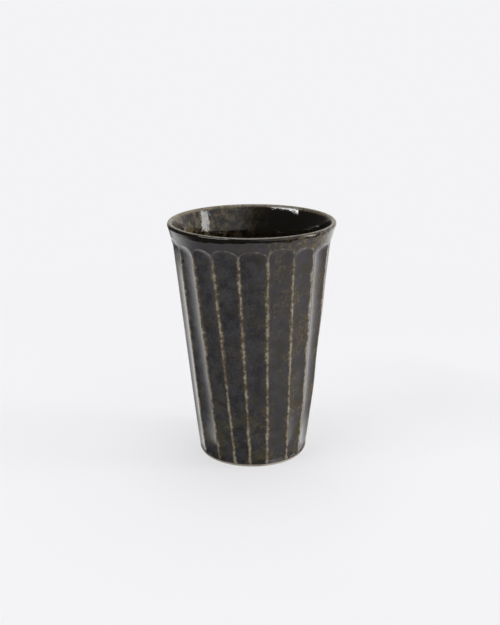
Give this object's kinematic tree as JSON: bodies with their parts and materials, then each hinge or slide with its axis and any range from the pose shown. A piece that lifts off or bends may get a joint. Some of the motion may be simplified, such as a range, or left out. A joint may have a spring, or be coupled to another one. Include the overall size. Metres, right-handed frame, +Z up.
{
  "type": "fluted stoneware tumbler cup",
  "caption": "Handleless tapered stoneware cup with carved upright concave flutes under a plain collar, a flared rounded lip, dark satin glaze outside and gloss glaze inside.",
  "frame": {"origin": "centre of the foot ring, on the table surface", "axes": "+Z up along the cup's turning axis, -Y towards the front that the picture shows"},
  "size_m": [0.0808, 0.0808, 0.117],
  "materials": {
    "clay": "matte",
    "satin_glaze": "satin",
    "gloss_glaze": "gloss",
    "foot_glaze": "satin"
  },
  "bodies": {
    "root": {"clay_body": "clay", "outer_glaze": "satin_glaze", "inner_glaze": "gloss_glaze", "foot_glaze": "foot_glaze"}
  },
  "joints": []
}
